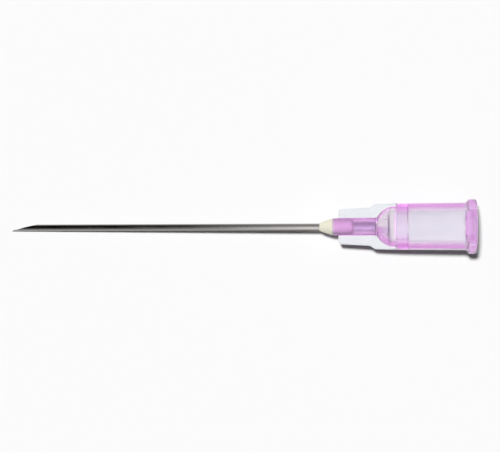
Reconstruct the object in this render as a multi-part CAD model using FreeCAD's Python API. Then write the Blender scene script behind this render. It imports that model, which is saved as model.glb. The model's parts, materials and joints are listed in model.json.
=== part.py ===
import FreeCAD, Part
import math
import os

# Hypodermic needle: a steel tube with a ground point, bonded into a clear tinted hub that
# pushes and locks onto a syringe. All sizes are in millimetres.
#
# Each piece is drawn about the needle's own axis: x runs from the open rear end of the hub
# to the point, fins stand to +y and -y, and the locking lugs to +z and -z. At the end the
# whole needle is turned to lie on a table, with one lug and the tube's front end on it.

# Hub body and the flange at its open end
BODY_LENGTH = 9.9
BODY_REAR_RADIUS = 2.93
BODY_FRONT_RADIUS = 2.865
FLANGE_RADIUS = 3.36
FLANGE_CREST_LENGTH = 1.0
FLANGE_FLANK_LENGTH = 0.32
FLANGE_REAR_ROUNDING = 0.3
FLANGE_FRONT_ROUNDING = 0.12
FLANGE_FOOT_ROUNDING = 0.35
SHOULDER_CHAMFER = 0.1

# Locking lugs on the flange
LUG_CREST_HEIGHT = 3.8
LUG_CREST_WIDTH = 1.8
LUG_BASE_WIDTH = 3.46
LUG_FRONT = 1.5
LUG_FRONT_FLANK = 0.35
LUG_REAR = 0.3
LUG_REAR_FLANK = 0.15
LUG_EDGE_ROUNDING = 0.08
LUG_ROOT_DEPTH = 0.4

# Domed front of the body and the nose that holds the tube
SHOULDER_STEP = 0.335
DOME_LEAD = 0.1
NOSE_RADIUS = 1.06
NOSE_FILLET = 0.6
NOSE_END_CHAMFER = 0.05
HUB_LENGTH = 17.75

# Fins beside the nose, given by their outer edge
FIN_THICKNESS = 0.5
FIN_EDGE_CHAMFER = 0.1
FIN_SETBACK = 0.75
FIN_FRONT_RADIUS = 2.15
FIN_STEP_RADIUS = 2.36
FIN_STEP_AHEAD_OF_BODY = 3.22
FIN_STEP_LENGTH = 0.62
FIN_REAR_INSET = 0.085
FIN_FRONT_ROUNDING = 0.37
FIN_STEP_ROUNDING = 0.15
FIN_ROOT_DEPTH = 0.25

# Socket that takes the tip of a syringe, with the standard 6 in 100 taper
SOCKET_MOUTH_RADIUS = 2.14
SOCKET_TAPER = 0.06
SOCKET_LEAD_IN = 0.1
LAND_LENGTH = 1.36
LAND_RADIUS = 1.65
LAND_CHAMFER = 0.08
LAND_SETBACK = 0.11

# Chamber ahead of the land, then the funnel, seat and well that guide and hold the tube
CHAMBER_LENGTH = 1.0
CHAMBER_RADIUS = 1.76
CHAMBER_ROUNDING = 0.5
FUNNEL_MOUTH_RADIUS = 1.0
FUNNEL_LENGTH = 1.45
FUNNEL_END_RADIUS = 0.27
WELL_RADIUS = 0.68
SEAT_BORE_LENGTH = 2.85
WELL_FLOOR_LENGTH = 0.28

# Steel tube and its three ground faces
TUBE_DIAMETER = 0.8
TUBE_BORE = 0.52
NEEDLE_LENGTH = 40.0
BEVEL_LENGTH = 3.2
LANCET_RISE = 0.09
LANCET_ANGLE = 20.0
LANCET_TURN = 35.0

# Cone of adhesive in front of the nose
BEAD_LENGTH = 1.6
BEAD_FRONT_RADIUS = 0.49
BEAD_BULGE = 0.05

# How near two places count as the same when edges are picked
TOLERANCE = 0.001

# Values worked out from the sizes above
AXIS = FreeCAD.Vector(1, 0, 0)
ORIGIN = FreeCAD.Vector(0, 0, 0)
TUBE_RADIUS = TUBE_DIAMETER / 2
DOME_RADIUS = BODY_FRONT_RADIUS - SHOULDER_STEP
DOME_CENTRE = BODY_LENGTH + DOME_LEAD
LAND_END = BODY_LENGTH - LAND_SETBACK
SOCKET_DEPTH = LAND_END - LAND_LENGTH
SOCKET_FLOOR_RADIUS = SOCKET_MOUTH_RADIUS - SOCKET_DEPTH * SOCKET_TAPER / 2
BEAD_BASE_RADIUS = NOSE_RADIUS - NOSE_END_CHAMFER
CHAMBER_FLOOR = LAND_END + CHAMBER_LENGTH
TUBE_SEAT = CHAMBER_FLOOR + FUNNEL_LENGTH
WELL_FLOOR = TUBE_SEAT + SEAT_BORE_LENGTH
POINT = HUB_LENGTH + NEEDLE_LENGTH


def line(start, end):
    """Straight edge between two (x, y) points."""
    return Part.LineSegment(FreeCAD.Vector(*start, 0), FreeCAD.Vector(*end, 0)).toShape()


def arc(start, middle, end):
    """Round edge through three (x, y) points."""
    points = [FreeCAD.Vector(*p, 0) for p in (start, middle, end)]
    return Part.Arc(*points).toShape()


def unit(vector):
    """The same direction with length one."""
    size = math.hypot(*vector)
    return (vector[0] / size, vector[1] / size)


def corner_points(before, corner, after, rounding):
    """Start, middle and end of the arc that rounds a corner."""
    back = unit((before[0] - corner[0], before[1] - corner[1]))
    ahead = unit((after[0] - corner[0], after[1] - corner[1]))
    half_angle = math.acos(back[0] * ahead[0] + back[1] * ahead[1]) / 2
    reach = rounding / math.tan(half_angle)
    inward = unit((back[0] + ahead[0], back[1] + ahead[1]))
    middle_reach = rounding / math.sin(half_angle) - rounding
    start = (corner[0] + back[0] * reach, corner[1] + back[1] * reach)
    middle = (corner[0] + inward[0] * middle_reach, corner[1] + inward[1] * middle_reach)
    end = (corner[0] + ahead[0] * reach, corner[1] + ahead[1] * reach)
    return start, middle, end


def closed_outline(corners):
    """Face inside (x, y, rounding) corners, each rounded where its rounding is above zero."""
    stops = []
    for index, corner in enumerate(corners):
        if corner[2] > 0:
            after = corners[(index + 1) % len(corners)]
            stops.append(corner_points(corners[index - 1], corner, after, corner[2]))
        else:
            stops.append((corner[:2],))
    edges = []
    for index, stop in enumerate(stops):
        if len(stop) == 3:
            edges.append(arc(*stop))
        following = stops[(index + 1) % len(stops)]
        edges.append(line(stop[-1], following[0]))
    return Part.Face(Part.Wire(edges))


def turned(face):
    """Solid of revolution of a face about the needle's axis."""
    return face.revolve(ORIGIN, AXIS, 360)


def body_and_flange():
    """Slightly tapered body with a rounded flange round its open end."""
    flange_foot = FLANGE_CREST_LENGTH + FLANGE_FLANK_LENGTH
    corners = [
        (0, 0, 0),
        (0, FLANGE_RADIUS, FLANGE_REAR_ROUNDING),
        (FLANGE_CREST_LENGTH, FLANGE_RADIUS, FLANGE_FRONT_ROUNDING),
        (flange_foot, BODY_REAR_RADIUS, FLANGE_FOOT_ROUNDING),
        (BODY_LENGTH - SHOULDER_CHAMFER, BODY_FRONT_RADIUS, 0),
        (BODY_LENGTH, BODY_FRONT_RADIUS - SHOULDER_CHAMFER, 0),
        (BODY_LENGTH, 0, 0),
    ]
    return turned(closed_outline(corners))


def dome_and_nose():
    """Round dome that runs through a fillet into the straight nose."""
    reach = DOME_RADIUS + NOSE_FILLET
    fillet_height = NOSE_RADIUS + NOSE_FILLET
    fillet_offset = math.sqrt(reach**2 - fillet_height**2)
    fillet_centre = DOME_CENTRE + fillet_offset
    slope = math.atan2(fillet_height, fillet_offset)
    meeting_angles = (math.pi / 2, (math.pi / 2 + slope) / 2, slope)
    dome = [
        (DOME_CENTRE + DOME_RADIUS * math.cos(a), DOME_RADIUS * math.sin(a)) for a in meeting_angles
    ]
    fillet_angles = (slope, (slope + math.pi / 2) / 2, math.pi / 2)
    fillet = [
        (fillet_centre - NOSE_FILLET * math.cos(a), fillet_height - NOSE_FILLET * math.sin(a))
        for a in fillet_angles
    ]
    root = BODY_LENGTH - SHOULDER_CHAMFER
    nose_edge = (HUB_LENGTH - NOSE_END_CHAMFER, NOSE_RADIUS)
    nose_face = (HUB_LENGTH, NOSE_RADIUS - NOSE_END_CHAMFER)
    edges = [
        line((root, 0), (root, DOME_RADIUS)),
        line((root, DOME_RADIUS), dome[0]),
        arc(*dome),
        arc(dome[2], fillet[1], fillet[2]),
        line(fillet[2], nose_edge),
        line(nose_edge, nose_face),
        line(nose_face, (HUB_LENGTH, 0)),
        line((HUB_LENGTH, 0), (root, 0)),
    ]
    return turned(Part.Face(Part.Wire(edges)))


def fin(side):
    """Thin stepped fin beside the nose, on the +y side (1) or the -y side (-1)."""
    front = HUB_LENGTH - FIN_SETBACK
    step_front = BODY_LENGTH + FIN_STEP_AHEAD_OF_BODY
    step_rear = step_front - FIN_STEP_LENGTH
    rear = BODY_LENGTH - SHOULDER_CHAMFER
    root = NOSE_RADIUS - FIN_ROOT_DEPTH
    corners = [
        (rear, side * root, 0),
        (front, side * root, 0),
        (front, side * FIN_FRONT_RADIUS, FIN_FRONT_ROUNDING),
        (step_front, side * FIN_STEP_RADIUS, FIN_STEP_ROUNDING),
        (step_rear, side * (BODY_FRONT_RADIUS - FIN_REAR_INSET), FIN_STEP_ROUNDING),
        (rear, side * BODY_FRONT_RADIUS, 0),
    ]
    face = closed_outline(corners)
    face.translate(FreeCAD.Vector(0, 0, -FIN_THICKNESS / 2))
    plate = face.extrude(FreeCAD.Vector(0, 0, FIN_THICKNESS))
    outer_edges = []
    for edge in plate.Edges:
        level = abs(edge.CenterOfMass.z) > FIN_THICKNESS / 2 - TOLERANCE
        outside = side * edge.CenterOfMass.y > root + TOLERANCE
        ahead_of_body = edge.CenterOfMass.x > rear + TOLERANCE
        if level and outside and ahead_of_body:
            outer_edges.append(edge)
    return plate.makeChamfer(FIN_EDGE_CHAMFER, outer_edges)


def lug(side):
    """Locking lug on the flange, on the +z side (1) or the -z side (-1)."""
    base_height = math.sqrt(FLANGE_RADIUS**2 - (LUG_BASE_WIDTH / 2) ** 2)
    root_height = BODY_REAR_RADIUS - LUG_ROOT_DEPTH
    across = [
        (-LUG_CREST_WIDTH / 2, root_height),
        (-LUG_BASE_WIDTH / 2, base_height),
        (-LUG_CREST_WIDTH / 2, LUG_CREST_HEIGHT),
        (LUG_CREST_WIDTH / 2, LUG_CREST_HEIGHT),
        (LUG_BASE_WIDTH / 2, base_height),
        (LUG_CREST_WIDTH / 2, root_height),
    ]
    section = Part.makePolygon([FreeCAD.Vector(0, y, side * z) for y, z in across + across[:1]])
    bar = Part.Face(section).extrude(FreeCAD.Vector(LUG_FRONT, 0, 0))
    along = [
        (LUG_REAR, root_height),
        (LUG_REAR, base_height),
        (LUG_REAR + LUG_REAR_FLANK, LUG_CREST_HEIGHT),
        (LUG_FRONT - LUG_FRONT_FLANK, LUG_CREST_HEIGHT),
        (LUG_FRONT, root_height),
    ]
    half_width = FreeCAD.Vector(0, FLANGE_RADIUS, 0)
    profile = [FreeCAD.Vector(x, 0, side * z) - half_width for x, z in along + along[:1]]
    flanks = Part.Face(Part.makePolygon(profile)).extrude(half_width * 2)
    block = bar.common(flanks)
    crest_edges = []
    for edge in block.Edges:
        if all(abs(v.Z) > LUG_CREST_HEIGHT - TOLERANCE for v in edge.Vertexes):
            crest_edges.append(edge)
    return block.makeFillet(LUG_EDGE_ROUNDING, crest_edges)


def hollow():
    """Everything that is open inside the hub, from the socket's mouth to the nose's face."""
    socket = [
        (-SOCKET_LEAD_IN, 0),
        (-SOCKET_LEAD_IN, SOCKET_MOUTH_RADIUS + 2 * SOCKET_LEAD_IN),
        (SOCKET_LEAD_IN, SOCKET_MOUTH_RADIUS - SOCKET_LEAD_IN * SOCKET_TAPER / 2),
        (SOCKET_DEPTH, SOCKET_FLOOR_RADIUS),
        (SOCKET_DEPTH, 0),
    ]
    land = [
        (SOCKET_DEPTH - LAND_CHAMFER, 0),
        (SOCKET_DEPTH - LAND_CHAMFER, LAND_RADIUS + LAND_CHAMFER),
        (SOCKET_DEPTH, LAND_RADIUS + LAND_CHAMFER),
        (SOCKET_DEPTH + LAND_CHAMFER, LAND_RADIUS),
        (LAND_END, LAND_RADIUS),
        (LAND_END, 0),
    ]
    chamber = [
        (LAND_END, 0, 0),
        (LAND_END, LAND_RADIUS, 0),
        (LAND_END + LAND_CHAMFER, CHAMBER_RADIUS, 0),
        (CHAMBER_FLOOR, CHAMBER_RADIUS, CHAMBER_ROUNDING),
        (CHAMBER_FLOOR, 0, 0),
    ]
    way_out = [
        (CHAMBER_FLOOR, 0),
        (CHAMBER_FLOOR, FUNNEL_MOUTH_RADIUS),
        (TUBE_SEAT, FUNNEL_END_RADIUS),
        (TUBE_SEAT, TUBE_RADIUS),
        (WELL_FLOOR, TUBE_RADIUS),
        (WELL_FLOOR + WELL_FLOOR_LENGTH, WELL_RADIUS),
        (HUB_LENGTH, WELL_RADIUS),
        (HUB_LENGTH, 0),
    ]
    sharp = [turned(closed_outline([(x, y, 0) for x, y in c])) for c in (socket, land, way_out)]
    return turned(closed_outline(chamber)).fuse(sharp)


def make_hub():
    """The hub: one clear moulding with its flange, lugs, dome, nose and two fins."""
    outside = body_and_flange().fuse([dome_and_nose(), fin(1), fin(-1), lug(1), lug(-1)])
    return outside.cut(hollow()).removeSplitter()


def half_space(point, normal):
    """Block that covers the side of a plane that its normal points to, near the tip."""
    size = 4 * BEVEL_LENGTH
    block = Part.makeBox(size, size, size, FreeCAD.Vector(-size / 2, -size / 2, 0))
    block.Placement = FreeCAD.Placement(point, FreeCAD.Rotation(FreeCAD.Vector(0, 0, 1), normal))
    return block


def make_cannula():
    """The steel tube, with a long bevel that faces -y and two lancet faces at its point."""
    length = POINT - TUBE_SEAT
    start = FreeCAD.Vector(TUBE_SEAT, 0, 0)
    outside = Part.makeCylinder(TUBE_RADIUS, length, start, AXIS)
    tube = outside.cut(Part.makeCylinder(TUBE_BORE / 2, length, start, AXIS))
    heel = FreeCAD.Vector(POINT - BEVEL_LENGTH, -TUBE_RADIUS, 0)
    bevel_slope = math.atan2(TUBE_DIAMETER - LANCET_RISE, BEVEL_LENGTH)
    bevel_normal = FreeCAD.Vector(math.sin(bevel_slope), -math.cos(bevel_slope), 0)
    tube = tube.cut(half_space(heel, bevel_normal))
    point = FreeCAD.Vector(POINT, TUBE_RADIUS, 0)
    slope = math.radians(LANCET_ANGLE)
    for turn in (math.radians(LANCET_TURN), -math.radians(LANCET_TURN)):
        across = math.cos(slope)
        normal = FreeCAD.Vector(math.sin(slope), -across * math.cos(turn), across * math.sin(turn))
        tube = tube.cut(half_space(point, normal))
    return tube


def make_adhesive():
    """Cured adhesive that fills the well round the tube and stands in front as a cone."""
    bead_front = HUB_LENGTH + BEAD_LENGTH
    middle_radius = (BEAD_BASE_RADIUS + BEAD_FRONT_RADIUS) / 2
    slant = math.hypot(BEAD_LENGTH, BEAD_BASE_RADIUS - BEAD_FRONT_RADIUS)
    bulge = (
        HUB_LENGTH + BEAD_LENGTH / 2 + BEAD_BULGE * (BEAD_BASE_RADIUS - BEAD_FRONT_RADIUS) / slant,
        middle_radius + BEAD_BULGE * BEAD_LENGTH / slant,
    )
    edges = [
        line((WELL_FLOOR, TUBE_RADIUS), (WELL_FLOOR + WELL_FLOOR_LENGTH, WELL_RADIUS)),
        line((WELL_FLOOR + WELL_FLOOR_LENGTH, WELL_RADIUS), (HUB_LENGTH, WELL_RADIUS)),
        line((HUB_LENGTH, WELL_RADIUS), (HUB_LENGTH, BEAD_BASE_RADIUS)),
        arc((HUB_LENGTH, BEAD_BASE_RADIUS), bulge, (bead_front, BEAD_FRONT_RADIUS)),
        line((bead_front, BEAD_FRONT_RADIUS), (bead_front, TUBE_RADIUS)),
        line((bead_front, TUBE_RADIUS), (WELL_FLOOR, TUBE_RADIUS)),
    ]
    return turned(Part.Face(Part.Wire(edges)))


def resting_place(shapes):
    """Placement that lays the needle on the table, point to -x and bevel to +y."""
    lug_touch = LUG_FRONT - LUG_FRONT_FLANK
    tube_touch = POINT - BEVEL_LENGTH / 2
    tilt = math.atan2(LUG_CREST_HEIGHT - TUBE_RADIUS, tube_touch - lug_touch)
    tip_down = FreeCAD.Rotation(FreeCAD.Vector(0, 1, 0), math.degrees(tilt))
    about = FreeCAD.Rotation(FreeCAD.Vector(0, 0, 1), 180)
    turn = FreeCAD.Placement(ORIGIN, about.multiply(tip_down))
    posed = [shape.transformed(turn.toMatrix(), True) for shape in shapes]
    box = Part.makeCompound(posed).optimalBoundingBox(False, False)
    shift = FreeCAD.Vector(-box.Center.x, -box.Center.y, -box.ZMin)
    return FreeCAD.Placement(shift, turn.Rotation)


pieces = {"hub": make_hub(), "cannula": make_cannula(), "adhesive": make_adhesive()}
place = resting_place(pieces.values())
os.makedirs("parts", exist_ok=True)
for name, shape in pieces.items():
    laid = shape.transformed(place.toMatrix(), True)
    laid.exportStep("parts/" + name + ".step")
    print(name, "solids", len(laid.Solids), "valid", laid.isValid(), "mm3", round(laid.Volume, 4))

rearward = place.Rotation.multVec(FreeCAD.Vector(-1, 0, 0))
marks = {
    "centre of the socket's mouth": FreeCAD.Vector(0, 0, 0),
    "end face, on the ring": FreeCAD.Vector(0, 0, (SOCKET_MOUTH_RADIUS + FLANGE_RADIUS) / 2),
    "centre of the lugs": FreeCAD.Vector((LUG_FRONT + LUG_REAR) / 2, 0, 0),
}
for name, mark in marks.items():
    where = place.multVec(mark)
    print(name, [round(c, 4) for c in where])
print("direction out of the socket", [round(c, 6) for c in rearward])
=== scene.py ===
# %% [markdown]
# # A hypodermic needle, dressed for the camera
# The real object is a steel tube, ground to a point and glued into a hub of clear tinted plastic.
# Its three solids come ready made as a fixed frame, so this lesson makes no shape but the floor.
# What is left for Blender is the finish of each piece, the light and the camera.

# %% Load the frame
import bpy
import json
import math
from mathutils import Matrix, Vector

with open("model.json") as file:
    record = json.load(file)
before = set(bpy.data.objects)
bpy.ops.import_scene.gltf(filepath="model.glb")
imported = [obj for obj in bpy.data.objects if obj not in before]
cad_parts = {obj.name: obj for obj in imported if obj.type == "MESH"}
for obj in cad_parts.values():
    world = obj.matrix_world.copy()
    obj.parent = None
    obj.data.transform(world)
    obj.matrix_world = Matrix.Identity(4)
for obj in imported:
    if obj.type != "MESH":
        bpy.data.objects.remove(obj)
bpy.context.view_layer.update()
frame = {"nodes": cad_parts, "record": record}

MM = 0.001
hub, cannula, adhesive = (frame["nodes"][name] for name in ("hub", "cannula", "adhesive"))
print("pieces:", sorted(frame["nodes"]))

# %% [markdown]
# Every finish below follows the needle's own axis: steel is drawn along it, and the hub is
# moulded round it. The axis could be typed in, but it would be wrong as soon as the needle lay
# another way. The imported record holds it, as the way a syringe leaves the socket, so it is read
# from there.

# %% Find the needle's axis
socket = next(mount for mount in frame["record"]["mounts"] if mount["name"] == "syringe_socket")
socket_mouth = Vector(socket["pos_m"])
rearward = Vector(socket["axis"]).normalized()
across = Vector((0, 1, 0))
upward = rearward.cross(across)
print("axis:", [round(part, 4) for part in rearward])
print("mouth in mm:", [round(part / MM, 2) for part in socket_mouth])

# %% [markdown]
# The steel and the resin look one way behind the plastic of the nose and another way in the open.
# The hub's own points say where the nose ends. The limit is set a hair behind that face, so that
# whatever lies in the face counts as open.

# %% Find the nose's face
FACE_MARGIN_MM = 0.01


def forward_of_mouth(point):
    """Distance in millimetres from the socket's mouth towards the needle's point."""
    return (point - socket_mouth).dot(-rearward) / MM


nose_face_mm = max(forward_of_mouth(vertex.co) for vertex in hub.data.vertices) - FACE_MARGIN_MM
print("the nose ends", round(nose_face_mm, 3), "mm forward of the mouth")

# %% [markdown]
# A shader needs to know where on the needle a point lies. A UV map could tell it, but it would
# have to be unwrapped for each solid. So this node group turns the object's coordinates into
# three distances in millimetres: along the axis forward of the socket's mouth, sideways and
# upwards from the axis. It is built once, and each material places it.

# %% Node group: distances on the needle
FLOAT = "NodeSocketFloat"


def new_group(name, inputs, outputs):
    """Empty shader node group. Its inputs have defaults, and all its sockets are numbers."""
    group = bpy.data.node_groups.new(name, "ShaderNodeTree")
    for socket_name, default in inputs.items():
        made = group.interface.new_socket(socket_name, in_out="INPUT", socket_type=FLOAT)
        made.default_value = default
    for socket_name in outputs:
        group.interface.new_socket(socket_name, in_out="OUTPUT", socket_type=FLOAT)
    print("group", name, "puts out", ", ".join(outputs))
    return group, group.nodes.new("NodeGroupInput"), group.nodes.new("NodeGroupOutput")


def distance_along(tree, position, direction):
    """How far a position lies along a direction."""
    dot = tree.nodes.new("ShaderNodeVectorMath")
    dot.operation = "DOT_PRODUCT"
    dot.inputs[1].default_value = direction
    tree.links.new(position, dot.inputs[0])
    return dot.outputs["Value"]


places, _, places_out = new_group("needle_places", {}, ("Forward mm", "Side mm", "Up mm"))
from_mouth = places.nodes.new("ShaderNodeVectorMath")
from_mouth.operation = "SUBTRACT"
from_mouth.inputs[1].default_value = socket_mouth
places.links.new(places.nodes.new("ShaderNodeTexCoord").outputs["Object"], from_mouth.inputs[0])
for output_name, direction in (("Forward mm", -rearward), ("Side mm", across), ("Up mm", upward)):
    distance = distance_along(places, from_mouth.outputs[0], direction / MM)
    places.links.new(distance, places_out.inputs[output_name])

# %% [markdown]
# Masks are sums, and a sum of nodes is hard to read when each node takes five lines. These
# helpers make one kind of node each and hand back its output, so that a mask reads like a
# formula. Every value that they take is either another node's output or a plain number.

# %% Helpers: nodes in few words
def feed(tree, value, slot):
    """Gives a slot its value: a link from another node, or a plain number or colour."""
    if isinstance(value, bpy.types.NodeSocket):
        tree.links.new(value, slot)
    else:
        slot.default_value = value


def maths(tree, operation, *operands):
    """One Math node."""
    node = tree.nodes.new("ShaderNodeMath")
    node.operation = operation
    for slot, operand in zip(node.inputs, operands):
        feed(tree, operand, slot)
    return node.outputs[0]


def times(tree, first, *others):
    """The product of two or more values."""
    for other in others:
        first = maths(tree, "MULTIPLY", first, other)
    return first


def opposite(tree, mask):
    """1 where the mask is 0, and 0 where it is 1."""
    return maths(tree, "SUBTRACT", 1.0, mask)


def remap(tree, value, span, levels, kind="SMOOTHSTEP"):
    """Goes from the first level to the second while the value crosses the span."""
    node = tree.nodes.new("ShaderNodeMapRange")
    node.interpolation_type = kind
    slots = ("Value", "From Min", "From Max", "To Min", "To Max")
    for slot_name, number in zip(slots, (value, *span, *levels)):
        feed(tree, number, node.inputs[slot_name])
    return node.outputs[0]


def place_group(tree, group, values=()):
    """Places a node group in a tree, with its inputs in their order. Returns its outputs."""
    node = tree.nodes.new("ShaderNodeGroup")
    node.node_tree = group
    for slot, value in zip(node.inputs, values):
        slot.default_value = value
    return node.outputs


print("helpers for nodes ready")

# %% [markdown]
# Moulded and drawn surfaces are never perfectly even. One group makes soft mottling at a chosen
# grain size, stretched along the axis by a chosen amount, as a mask between two chosen levels. A
# picture of scratches could do it too, but noise has no seams and keeps its scale on any length
# of tube. Each finish takes one mask for its roughness and another for a faint bump.

# %% Node group: fine mottling
NOISE_SPAN = (0.3, 0.7)
NOISE_DETAIL = 3.0
mottle, mottle_in, mottle_out = new_group(
    "fine_mottle", {"Grain per mm": 4.0, "Stretch": 1.0, "Low": 0.0, "High": 1.0}, ("Mask",)
)
where = place_group(mottle, places)
grain_place = mottle.nodes.new("ShaderNodeCombineXYZ")
shortened = maths(mottle, "DIVIDE", where["Forward mm"], mottle_in.outputs["Stretch"])
mottle.links.new(shortened, grain_place.inputs["X"])
mottle.links.new(where["Side mm"], grain_place.inputs["Y"])
mottle.links.new(where["Up mm"], grain_place.inputs["Z"])
noise = mottle.nodes.new("ShaderNodeTexNoise")
noise.inputs["Detail"].default_value = NOISE_DETAIL
mottle.links.new(grain_place.outputs[0], noise.inputs["Vector"])
mottle.links.new(mottle_in.outputs["Grain per mm"], noise.inputs["Scale"])
levels = (mottle_in.outputs["Low"], mottle_in.outputs["High"])
spread = remap(mottle, noise.outputs["Fac"], NOISE_SPAN, levels, kind="LINEAR")
mottle.links.new(spread, mottle_out.inputs["Mask"])
print("mottling of", NOISE_DETAIL, "layers, noise spread from", NOISE_SPAN)

# %% [markdown]
# Each piece gets one material with a Principled shader, because that shader holds plastic, steel
# and resin alike. One helper makes such a material, and another puts it on its piece.

# %% Helpers: a material and its piece
def new_material(name):
    """Material with a Principled shader. Returns (material, tree, shader, output)."""
    material = bpy.data.materials.new(name)
    material.use_nodes = True
    tree = material.node_tree
    return material, tree, tree.nodes["Principled BSDF"], tree.nodes["Material Output"]


def dress(piece, material):
    """Puts the material in the piece's slot."""
    piece.data.materials.clear()
    piece.data.materials.append(material)
    print(piece.name, "wears", material.name)


print("helpers for a material ready")

# %% [markdown]
# Hardly any surface here is of one colour or one gloss. Two helpers blend colours and shaders by
# a mask, and two more put the mottling to use, as a roughness and as a bump. The bump is kept
# far below a hundredth of a millimetre on steel and plastic, since both look smooth.

# %% Helpers: blends and mottling
def colour_blend(tree, mask, first, second, kind="MIX"):
    """The first colour where the mask is 0, and the second, mixed or multiplied in, where it is 1."""
    node = tree.nodes.new("ShaderNodeMix")
    node.data_type = "RGBA"
    node.blend_type = kind
    feed(tree, mask, node.inputs["Factor"])
    feed(tree, first, node.inputs["A"])
    feed(tree, second, node.inputs["B"])
    return node.outputs["Result"]


def shader_blend(tree, mask, first, second, output):
    """Sends the first shader to the surface where the mask is 0, and the second where it is 1."""
    node = tree.nodes.new("ShaderNodeMixShader")
    tree.links.new(mask, node.inputs["Fac"])
    tree.links.new(first.outputs[0], node.inputs[1])
    tree.links.new(second.outputs[0], node.inputs[2])
    tree.links.new(node.outputs[0], output.inputs["Surface"])


def place_mottle(tree, grain, stretch, low=0.0, high=1.0):
    """The mottling with this finish's own values. Returns its mask."""
    return place_group(tree, mottle, (grain, stretch, low, high))["Mask"]


def bump(tree, shader, height, depth_mm):
    """Bump of the given depth from a height mask."""
    node = tree.nodes.new("ShaderNodeBump")
    node.inputs["Distance"].default_value = depth_mm * MM
    tree.links.new(height, node.inputs["Height"])
    tree.links.new(node.outputs["Normal"], shader.inputs["Normal"])


print("helpers for blends and mottling ready")

# %% [markdown]
# The hub is one moulding, and its dye shows most where the plastic is heavy: the flange, the
# ring at the bottom of the socket, and the nose, which is solid but for the tube. The socket's
# wall is thin and nearly clear. Absorption inside the plastic could make this alone, but then no
# section's depth could be set by itself. So a group first says how deep the dye looks, section
# by section, and the material adds some absorption later. The same group also holds the masks
# where light and highlights are painted into the colour.

# %% Dye group: sections along the hub
RAMP_MM = 18.0
# Each stop is millimetres forward of the mouth, and how deep the dye looks there.
FLANGE_STOPS = ((0.0, 0.5), (0.9, 0.5), (1.3, 0.1), (1.5, 0.0))
LAND_STOPS = ((8.2, 0.0), (8.5, 0.1), (9.6, 0.1), (10.0, 0.0))
FUNNEL_STOPS = ((10.6, 0.0), (11.6, 0.4))
# The nose's last stop fades the dye at its front rim: a painted highlight.
NOSE_STOPS = ((12.4, 0.75), (17.4, 0.75), (17.6, 0.2))
dye_and_light_masks, _, dye_out = new_group(
    "dye_and_light_masks", {}, ("Depth", "Fin", "Nose", "Painted light", "Outside", "Light paling and ring", "Lit")
)
where = place_group(dye_and_light_masks, places)
forward, side, up = where["Forward mm"], where["Side mm"], where["Up mm"]
along_hub = dye_and_light_masks.nodes.new("ShaderNodeValToRGB")
stops = along_hub.color_ramp.elements
for index, (stop_mm, depth) in enumerate(FLANGE_STOPS + LAND_STOPS + FUNNEL_STOPS + NOSE_STOPS):
    stop = stops[index] if index < len(stops) else stops.new(stop_mm / RAMP_MM)
    stop.position = stop_mm / RAMP_MM
    stop.color = (depth, depth, depth, 1)
dye_and_light_masks.links.new(maths(dye_and_light_masks, "DIVIDE", forward, RAMP_MM), along_hub.inputs["Fac"])
print("dye depth has", len(stops), "stops along", RAMP_MM, "mm")

# %% [markdown]
# The body ends in a dome, and two thin fins run from the dome along the sides of the nose. They
# are part of the same solid, so they get no material of their own. A point is on a fin when it
# lies outside both the dome's sphere and the nose, and two distances are enough to tell.

# %% Dye group: the fins
NOSE_RADIUS_MM = 1.15
DOME_RADIUS_MM = 2.56
DOME_MIDDLE_MM = 10.0
FINS_START_MM = 9.85


def length(tree, first, second):
    """The long side of a right-angled triangle."""
    return maths(tree, "SQRT", maths(tree, "ADD", times(tree, first, first), times(tree, second, second)))


radius = length(dye_and_light_masks, side, up)
from_dome = length(dye_and_light_masks, radius, maths(dye_and_light_masks, "SUBTRACT", forward, DOME_MIDDLE_MM))
on_fin = times(
    dye_and_light_masks,
    maths(dye_and_light_masks, "GREATER_THAN", radius, NOSE_RADIUS_MM),
    maths(dye_and_light_masks, "GREATER_THAN", from_dome, DOME_RADIUS_MM),
    maths(dye_and_light_masks, "GREATER_THAN", forward, FINS_START_MM),
)
off_fin = opposite(dye_and_light_masks, on_fin)
dye_and_light_masks.links.new(on_fin, dye_out.inputs["Fin"])
print("fins start", FINS_START_MM, "mm forward of the mouth")

# %% [markdown]
# Under the dome the socket ends in a short chamber, and a funnel leads from it into the tube.
# Light fills the chamber, and that light is painted: the chamber is painted white all round.
# In the funnel only the half towards the sun is painted white, and the other half, in shade,
# takes the dye. The sections above don't know the two halves, so this mask of painted light is
# taken out of them here.

# %% Dye group: painted light in the chamber and funnel
CHAMBER_TO_NOSE_MM = (9.85, 10.05, 12.2, 12.5)
FUNNEL_START_MM = (10.6, 10.9)
MIDDLE_MM = (-0.15, 0.1)
LOW_TO_HIGH = (0.0, 1.0)
HIGH_TO_LOW = (1.0, 0.0)


def stretch_mask(tree, value, stretch):
    """1 within a stretch, given as where it begins, is full, starts to fade and ends."""
    begun = remap(tree, value, stretch[:2], LOW_TO_HIGH)
    return times(tree, begun, remap(tree, value, stretch[2:], HIGH_TO_LOW))


in_funnel = remap(dye_and_light_masks, forward, FUNNEL_START_MM, LOW_TO_HIGH)
shaded_half = times(dye_and_light_masks, in_funnel, remap(dye_and_light_masks, side, MIDDLE_MM, HIGH_TO_LOW))
chamber_to_nose = stretch_mask(dye_and_light_masks, forward, CHAMBER_TO_NOSE_MM)
# Painted light: white in the chamber and on the funnel's half towards the sun.
painted_light = times(dye_and_light_masks, chamber_to_nose, opposite(dye_and_light_masks, shaded_half))
deep = times(dye_and_light_masks, along_hub.outputs["Color"], opposite(dye_and_light_masks, painted_light), off_fin)
dye_and_light_masks.links.new(painted_light, dye_out.inputs["Painted light"])
dye_and_light_masks.links.new(deep, dye_out.inputs["Depth"])
print("pale from", CHAMBER_TO_NOSE_MM[0], "to", CHAMBER_TO_NOSE_MM[-1], "mm")

# %% [markdown]
# The nose is slightly frosted by its mould, so it needs a mask of its own. The sun also has to
# reach the resin inside it. Only the nose's upper half lets the sun pass, because a nose that is
# open all the way down would leave a bright hole in its shadow.

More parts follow.
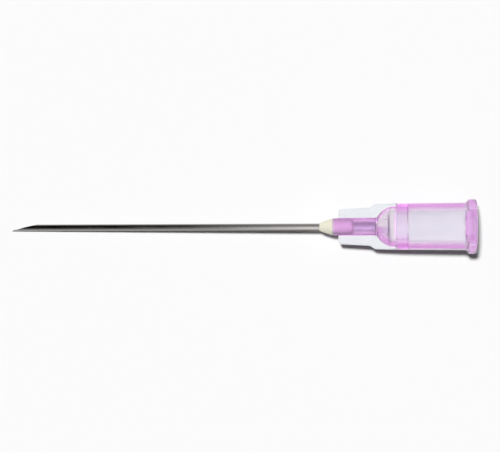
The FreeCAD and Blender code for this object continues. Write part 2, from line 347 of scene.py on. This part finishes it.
# %% Dye group: the nose
NOSE_ROOT_MM = (11.9, 12.7)
UPPER_HALF_MM = (-0.3, 0.0)
on_nose = times(dye_and_light_masks, remap(dye_and_light_masks, forward, NOSE_ROOT_MM, LOW_TO_HIGH), off_fin)
lit = times(dye_and_light_masks, on_nose, remap(dye_and_light_masks, up, UPPER_HALF_MM, LOW_TO_HIGH))
dye_and_light_masks.links.new(on_nose, dye_out.inputs["Nose"])
dye_and_light_masks.links.new(lit, dye_out.inputs["Lit"])
print("the nose is full from", NOSE_ROOT_MM[1], "mm on")

# %% [markdown]
# Where a clear wall turns away from the eye, light runs along inside it and comes out deep pink.
# The material finds such places by their angle, and two masks say where that counts. One keeps
# it to the outer skin, short of a strip along one side that is left white as a painted highlight.
# The other, which comes next, paints the side towards the sun paler and keeps the heavy ring bold.

# %% Dye group: the outer skin
WALL_SKIN_MM = (2.3, 2.5)
DOME_SKIN_MM = (2.35, 2.45)
DOME_STRETCH_MM = (9.9, 10.1, 12.2, 12.5)
PAINTED_HIGHLIGHT_STRIP_MM = (-2.76, -2.66)
on_dome = times(
    dye_and_light_masks,
    stretch_mask(dye_and_light_masks, forward, DOME_STRETCH_MM),
    remap(dye_and_light_masks, from_dome, DOME_SKIN_MM, LOW_TO_HIGH),
)
skin = maths(dye_and_light_masks, "MAXIMUM", remap(dye_and_light_masks, radius, WALL_SKIN_MM, LOW_TO_HIGH), on_dome)
# A strip at the edge of the side away from the sun is left white: a painted highlight.
skin = times(dye_and_light_masks, skin, remap(dye_and_light_masks, side, PAINTED_HIGHLIGHT_STRIP_MM, LOW_TO_HIGH))
dye_and_light_masks.links.new(skin, dye_out.inputs["Outside"])
print("the skin starts", WALL_SKIN_MM[0], "mm from the axis")

# %% [markdown]
# How far the skin has to turn before the pink shows isn't the same all over the real hub. Here
# the side towards the sun is painted paler, most of all on the dome, as painted light, and the
# foot of the flange is painted paler as a painted highlight. The dye is bold at the heavy ring.
# One curve from angle to pink can't know any of this, so the material takes this mask off the
# angle before it uses the curve.

# %% Dye group: painted paling towards the sun, and the bold ring
SUNNY_SIDE_MM = (-0.5, 0.5)
HEAVY_RING_MM = (8.2, 8.4, 9.75, 9.95)
FLANGE_FOOT_MM = (0.8, 0.95, 1.5, 1.65)
SUNNY_WALL_PALING, SUNNY_DOME_PALING, BOLD_RING, FOOT_HIGHLIGHT_PALING = 0.05, 0.2, 0.13, 0.2
# Paler on the side towards the sun, most on the dome: painted light. Paler at the flange's foot: a
# painted highlight.
light_paling_and_ring = maths(dye_and_light_masks, "ADD", times(dye_and_light_masks, on_dome, SUNNY_DOME_PALING), SUNNY_WALL_PALING)
light_paling_and_ring = times(dye_and_light_masks, light_paling_and_ring, remap(dye_and_light_masks, side, SUNNY_SIDE_MM, LOW_TO_HIGH))
ring = stretch_mask(dye_and_light_masks, forward, HEAVY_RING_MM)
foot_highlight = stretch_mask(dye_and_light_masks, forward, FLANGE_FOOT_MM)
light_paling_and_ring = maths(dye_and_light_masks, "SUBTRACT", light_paling_and_ring, times(dye_and_light_masks, ring, BOLD_RING))
light_paling_and_ring = maths(dye_and_light_masks, "ADD", light_paling_and_ring, times(dye_and_light_masks, foot_highlight, FOOT_HIGHLIGHT_PALING))
dye_and_light_masks.links.new(light_paling_and_ring, dye_out.inputs["Light paling and ring"])
print("shy by", SUNNY_WALL_PALING, "on the wall and", SUNNY_WALL_PALING + SUNNY_DOME_PALING, "on the dome")

# %% [markdown]
# The hub is clear polypropylene with a pink violet dye and a slight milkiness, so its shader is
# a glass that lets most light through and scatters the rest. Light that runs a long way through
# the plastic comes out deeper, and absorption inside the piece does that at any angle.

# %% Hub: clear plastic with dye in it
CLEARNESS = 0.88
PLASTIC_IOR = 1.49
DYE_COLOUR = (0.8, 0.1, 0.85, 1)
DYE_DENSITY = 80.0
hub_plastic, tree, shader, output = new_material("hub_plastic")
shader.inputs["Transmission Weight"].default_value = CLEARNESS
shader.inputs["IOR"].default_value = PLASTIC_IOR
dye = tree.nodes.new("ShaderNodeVolumeAbsorption")
dye.inputs["Color"].default_value = DYE_COLOUR
dye.inputs["Density"].default_value = DYE_DENSITY
tree.links.new(dye.outputs[0], output.inputs["Volume"])
dress(hub, hub_plastic)

# %% [markdown]
# The tints are then laid on by the group's masks: nearly clear for the wall, white painted
# light for the chamber and the funnel's sunny half, deep pink for the heavy sections, and a cool
# grey for the fins. Each blend takes the one before it, so a later mask wins where two of them
# meet.

# %% Hub: colour by place
WALL_TINT = (0.935, 0.955, 0.98, 1)
PAINTED_LIGHT_TINT = (1.0, 1.0, 1.0, 1)
DEEP_TINT = (0.91, 0.41, 0.93, 1)
FIN_TINT = (0.81, 0.86, 0.87, 1)
masks = place_group(tree, dye_and_light_masks)
# The chamber and the funnel's sunny half are painted white: painted light.
tint = colour_blend(tree, masks["Painted light"], WALL_TINT, PAINTED_LIGHT_TINT)
tint = colour_blend(tree, masks["Depth"], tint, DEEP_TINT)
tint = colour_blend(tree, masks["Fin"], tint, FIN_TINT)
print("deepest tint", DEEP_TINT[:3])

# %% [markdown]
# The pink of a wall seen edge on depends on its angle to the eye. Layer Weight gives that angle,
# and it stays in the material, because an export can't read it inside a group. The tint is
# multiplied in, and it is left out where the dye is deep already and on the fins.

# %% Hub: deeper where it is seen edge on
RIM_TURN = (0.16, 0.43)
RIM_TINT = (0.94, 0.25, 0.9, 1)
EVEN_BLEND = 0.5
grazing = tree.nodes.new("ShaderNodeLayerWeight")
grazing.inputs["Blend"].default_value = EVEN_BLEND
# Taking this mask off the angle paints the sunny side and the flange's foot paler: painted light.
turned = maths(tree, "SUBTRACT", grazing.outputs["Facing"], masks["Light paling and ring"])
edge_on = times(tree, remap(tree, turned, RIM_TURN, LOW_TO_HIGH, kind="LINEAR"), masks["Outside"])
left_out = maths(tree, "ADD", masks["Depth"], masks["Fin"])
shallow = maths(tree, "MAXIMUM", opposite(tree, left_out), 0.0)
tint = colour_blend(tree, times(tree, edge_on, shallow), tint, RIM_TINT, kind="MULTIPLY")
tree.links.new(tint, shader.inputs["Base Color"])
print("pink comes in while Facing goes from", RIM_TURN[0], "to", RIM_TURN[1])

# %% [markdown]
# The body is glossy, and the nose looks as if its mould had been left a little rough. One
# roughness for both would be wrong for one of them, so the mottling gives the body's gloss some
# life, and the nose's mask adds the frost on top.

# %% Hub: gloss and frost
FROST = 0.33
polish = place_mottle(tree, grain=1.5, stretch=2.0, low=0.05, high=0.12)
frost = times(tree, masks["Nose"], FROST)
tree.links.new(maths(tree, "ADD", polish, frost), shader.inputs["Roughness"])
bump(tree, shader, place_mottle(tree, grain=0.8, stretch=3.0), depth_mm=0.001)
print("frost on the nose", FROST)

# %% [markdown]
# Glass throws a black shadow unless its bright patterns are traced, which is slow and noisy.
# So a ray that looks for the sun meets a transparent shader in place of the glass. It is dark
# for the body, whose real shadow is dark as well, and light for the upper half of the nose.

# %% Hub: sunlight through the plastic
BODY_SHADE = (0.1, 0.097, 0.1, 1)
NOSE_SHADE = (0.8, 0.76, 0.8, 1)
sunlight_through = tree.nodes.new("ShaderNodeBsdfTransparent")
shade = colour_blend(tree, masks["Lit"], BODY_SHADE, NOSE_SHADE)
tree.links.new(shade, sunlight_through.inputs["Color"])
to_the_sun = tree.nodes.new("ShaderNodeLightPath").outputs["Is Shadow Ray"]
shader_blend(tree, to_the_sun, shader, sunlight_through, output)
print("the body lets", BODY_SHADE[0], "of the sun through, and the nose", NOSE_SHADE[0])

# %% [markdown]
# The tube is stainless steel, drawn through a die and polished. Drawing leaves very fine
# lengthwise lines, so the mottling is stretched far along the axis and drives the roughness.
# The length that is glued into the nose is a little rougher and cooler, and a mask tells it
# from the open length by where the nose ends.

# %% Cannula: drawn and polished steel
OPEN_STEEL = (0.28, 0.268, 0.262, 1)
GLUED_STEEL = (0.26, 0.29, 0.3, 1)
GLUED_ROUGHER = 0.08


def in_the_nose(tree):
    """1 on the part of a piece that lies within the nose."""
    return maths(tree, "LESS_THAN", place_group(tree, places)["Forward mm"], nose_face_mm)


needle_steel, tree, shader, output = new_material("needle_steel")
glued = in_the_nose(tree)
steel = colour_blend(tree, glued, OPEN_STEEL, GLUED_STEEL)
tree.links.new(steel, shader.inputs["Base Color"])
shader.inputs["Metallic"].default_value = 1.0
drawn = place_mottle(tree, grain=12.0, stretch=40.0, low=0.07, high=0.16)
rougher = times(tree, glued, GLUED_ROUGHER)
tree.links.new(maths(tree, "ADD", drawn, rougher), shader.inputs["Roughness"])
bump(tree, shader, place_mottle(tree, grain=14.0, stretch=60.0), depth_mm=0.0005)
dress(cannula, needle_steel)

# %% [markdown]
# The adhesive is a cream resin that was cured in place, smooth but not glossy. It fills a well
# in the nose round the tube, and a small cone of it stands in front. Behind the plastic it sits
# in light that came through the dye, and that pink light is painted into its colour where the
# nose ends, more than the wall's own tint would give.

# %% Adhesive: cured cream resin
OPEN_RESIN = (0.82, 0.8, 0.65, 1)
RESIN_IN_PINK_LIGHT = (0.8, 0.61, 0.79, 1)
cured_resin, tree, shader, output = new_material("cured_resin")
# Inside the nose the resin is painted pink for the dyed light it sits in.
resin = colour_blend(tree, in_the_nose(tree), OPEN_RESIN, RESIN_IN_PINK_LIGHT)
tree.links.new(resin, shader.inputs["Base Color"])
smooth = place_mottle(tree, grain=2.0, stretch=1.0, low=0.25, high=0.45)
tree.links.new(smooth, shader.inputs["Roughness"])
bump(tree, shader, place_mottle(tree, grain=1.5, stretch=1.0), depth_mm=0.01)
dress(adhesive, cured_resin)

# %% [markdown]
# The resin and the tube touch the plastic with no air between. Two surfaces in exactly one
# place would leave the renderer to guess which comes first, and the plastic would mirror as if
# it were empty. So the part of both that lies in the nose is swelled by a hair, and sits just
# inside the plastic.

# %% Seat the resin and the tube in the plastic
HAIR_MM = 0.012
for piece in (adhesive, cannula):
    points = piece.data.vertices
    seated = [point.index for point in points if forward_of_mouth(point.co) < nose_face_mm]
    inside = piece.vertex_groups.new(name="in_the_nose")
    inside.add(seated, 1.0, "REPLACE")
    swell = piece.modifiers.new("seated", "DISPLACE")
    swell.strength = HAIR_MM * MM
    swell.mid_level = 0.0
    swell.vertex_group = inside.name
    print(piece.name, "has", len(seated), "points in the nose")

# %% [markdown]
# The floor is a plain pale sheet. It has to keep the needle's shadow, and yet look almost white
# through the plastic, where little light would reach it. So rays that come by way of the
# plastic see mostly a steady glow, rays straight from the camera see only a touch of it, and
# all others see the lit sheet, which keeps the light on the needle at its plain level.

# %% Floor
FLOOR_SIZE = 3.0
FLOOR_COLOUR = (0.95, 0.95, 0.95, 1)
FLOOR_ROUGHNESS = 0.9
WHITE = (1, 1, 1, 1)
CAMERA_GLOW, PLASTIC_GLOW = 0.02, 0.95


def ray_masks(tree):
    """Masks for rays: camera, by shine, by plastic, and lighting another surface through plastic."""
    path = tree.nodes.new("ShaderNodeLightPath").outputs
    lighting = maths(tree, "GREATER_THAN", path["Diffuse Depth"], 0.5)
    looking = opposite(tree, lighting)
    by_shine = times(tree, path["Is Glossy Ray"], looking)
    by_plastic = times(tree, path["Is Transmission Ray"], looking)
    led_through = times(tree, path["Is Transmission Ray"], lighting)
    return path["Is Camera Ray"], by_shine, by_plastic, led_through


bpy.ops.mesh.primitive_grid_add(x_subdivisions=4, y_subdivisions=4, size=FLOOR_SIZE)
floor = bpy.context.object
floor.name = "floor"
floor_paper, tree, shader, output = new_material("floor_paper")
shader.inputs["Base Color"].default_value = FLOOR_COLOUR
shader.inputs["Roughness"].default_value = FLOOR_ROUGHNESS
shader.inputs["Specular IOR Level"].default_value = 0.0
glow = tree.nodes.new("ShaderNodeEmission")
glow.inputs["Color"].default_value = WHITE
camera_ray, _, by_plastic, _ = ray_masks(tree)
seen_glow = times(tree, camera_ray, CAMERA_GLOW)
seen_glow = maths(tree, "MAXIMUM", seen_glow, times(tree, by_plastic, PLASTIC_GLOW))
shader_blend(tree, seen_glow, shader, glow, output)
dress(floor, floor_paper)

# %% [markdown]
# The shadow lies close under the needle, to the lower right, with a soft edge. A sun lamp
# makes it: it lights the whole needle evenly, its direction sets where the shadow falls, and its
# width sets how soft the edge is. It is hidden from shine and from the plastic, because a small
# bright disc would show there that the photograph doesn't have.

# %% Sun
SUN_STRENGTH = 3.11
SUN_WIDTH_DEG = 7
SUN_DIRECTION = Vector((60, -76, -400))
sun = bpy.data.lights.new("key", "SUN")
sun.energy = SUN_STRENGTH
sun.angle = math.radians(SUN_WIDTH_DEG)
sun.cycles.use_multiple_importance_sampling = False
key = bpy.data.objects.new("key", sun)
key.rotation_euler = SUN_DIRECTION.to_track_quat("-Z", "Y").to_euler()
key.visible_glossy = False
key.visible_transmission = False
bpy.context.scene.collection.objects.link(key)
print("sun of strength", SUN_STRENGTH, "and", SUN_WIDTH_DEG, "degrees, towards", list(SUN_DIRECTION))

# %% [markdown]
# Steel and glass show whatever stands round them. Lamps could stand there, but each would also
# light the needle. So the studio is painted on the world, by three slopes of a ray's direction:
# along the needle towards its rear, across it, and upwards.

# %% Studio: the directions
world = bpy.data.worlds.new("studio")
bpy.context.scene.world = world
world.use_nodes = True
tree = world.node_tree
background = tree.nodes["Background"]
background.inputs["Color"].default_value = WHITE
ray = tree.nodes.new("ShaderNodeTexCoord").outputs["Generated"]
along = distance_along(tree, ray, rearward)
sideways = distance_along(tree, ray, across)
height = distance_along(tree, ray, Vector((0, 0, 1)))
print("world", world.name, "follows the needle's axis")

# %% [markdown]
# A large window stands on one side of the needle, brightest beside it and dimmer to the front
# and the rear. Its edge slants: towards the front it draws back, as the highlight on the real
# dome does. Overhead the ceiling is pale from the middle to the rear and dim far in front. The
# dark gap between the two is what the steel shows near its point. Last comes a pale band round
# the horizon.

# %% Studio: window, ceiling and horizon
WINDOW_EDGE = (-0.7, 0.25)
SLANT_SPAN, SLANT_LEVELS = (-0.15, 0.0), (-0.43, 0.45)
WINDOW_RISE_SPAN, WINDOW_RISE_LEVELS = (-0.075, -0.03), (0.36, 1.65)
WINDOW_FADE_SPAN, WINDOW_FADE_LEVELS = (0.1, 0.4), (0.0, 1.15)
REAR_CEILING_SPAN, REAR_CEILING_LEVELS = (-0.1, -0.04), (0.0, 0.75)
FRONT_CEILING_SPAN, FRONT_CEILING_LEVELS = (-0.5, -0.2), (0.3, 0.0)
HORIZON_SPAN, HORIZON_LEVELS = (0.0, 0.5), (0.5, 0.0)
edge = remap(tree, along, SLANT_SPAN, SLANT_LEVELS)
window_side = remap(tree, maths(tree, "SUBTRACT", sideways, edge), WINDOW_EDGE, HIGH_TO_LOW)
window_rise = remap(tree, along, WINDOW_RISE_SPAN, WINDOW_RISE_LEVELS)
window_fade = remap(tree, along, WINDOW_FADE_SPAN, WINDOW_FADE_LEVELS)
window = times(tree, window_side, maths(tree, "SUBTRACT", window_rise, window_fade))
rear_ceiling = remap(tree, along, REAR_CEILING_SPAN, REAR_CEILING_LEVELS)
front_ceiling = remap(tree, along, FRONT_CEILING_SPAN, FRONT_CEILING_LEVELS)
studio = maths(tree, "ADD", maths(tree, "ADD", rear_ceiling, front_ceiling), window)
studio = maths(tree, "ADD", studio, remap(tree, height, HORIZON_SPAN, HORIZON_LEVELS))
print("the window's highest level is", WINDOW_RISE_LEVELS[1])

# %% [markdown]
# The studio is meant to be seen, not to light the scene, so each kind of ray gets its own
# answer. Shine and plastic see the studio, and the plastic never less than a pale level. The
# camera sees white. Rays that light a surface get an even fill, and those that would reach it
# by way of the plastic get nothing, or the dark shadow under the hub would be lit twice.

# %% Studio: what each ray sees
PLASTIC_LEVEL = 0.8
FILL = 0.06
camera_ray, by_shine, by_plastic, led_through = ray_masks(tree)
studio = maths(tree, "MAXIMUM", studio, times(tree, by_plastic, PLASTIC_LEVEL))
looking = maths(tree, "ADD", by_shine, by_plastic)
more_than_fill = times(tree, maths(tree, "SUBTRACT", studio, FILL), looking)
seen = times(tree, maths(tree, "ADD", more_than_fill, FILL), opposite(tree, led_through))
tree.links.new(maths(tree, "MAXIMUM", seen, camera_ray), background.inputs["Strength"])
print("fill", FILL, "and at least", PLASTIC_LEVEL, "through the plastic")

# %% [markdown]
# The photograph looks straight down on the lying needle. The flange's curved edge shows how near
# the camera was, and that sets the focal length. A pixel scale measured on the hub then
# gives the camera's height and place.

# %% Camera
IMAGE_WIDTH, IMAGE_HEIGHT = 500, 452
PIXELS_PER_MM = 8.125
DISTANCE_PX = 2050
MOUTH_PIXEL = (476.7, 227.1)
ROLL_DEG = -0.19
SENSOR_MM = 36.0

camera_data = bpy.data.cameras.new("camera")
camera_data.sensor_width = SENSOR_MM
camera_data.lens = SENSOR_MM * DISTANCE_PX / IMAGE_WIDTH
camera_data.clip_start = 0.01
camera_data.clip_end = 10.0
camera = bpy.data.objects.new("camera", camera_data)
bpy.context.scene.collection.objects.link(camera)
camera.location = (
    socket_mouth.x - (MOUTH_PIXEL[0] - IMAGE_WIDTH / 2) / PIXELS_PER_MM * MM,
    socket_mouth.y + (MOUTH_PIXEL[1] - IMAGE_HEIGHT / 2) / PIXELS_PER_MM * MM,
    socket_mouth.z + DISTANCE_PX / PIXELS_PER_MM * MM,
)
camera.rotation_euler = (0, 0, math.radians(ROLL_DEG))
bpy.context.scene.camera = camera
bpy.context.scene.view_settings.view_transform = "Standard"
print("camera in mm:", [round(part / MM, 1) for part in camera.location])
print("lens in mm:", round(camera_data.lens, 1))
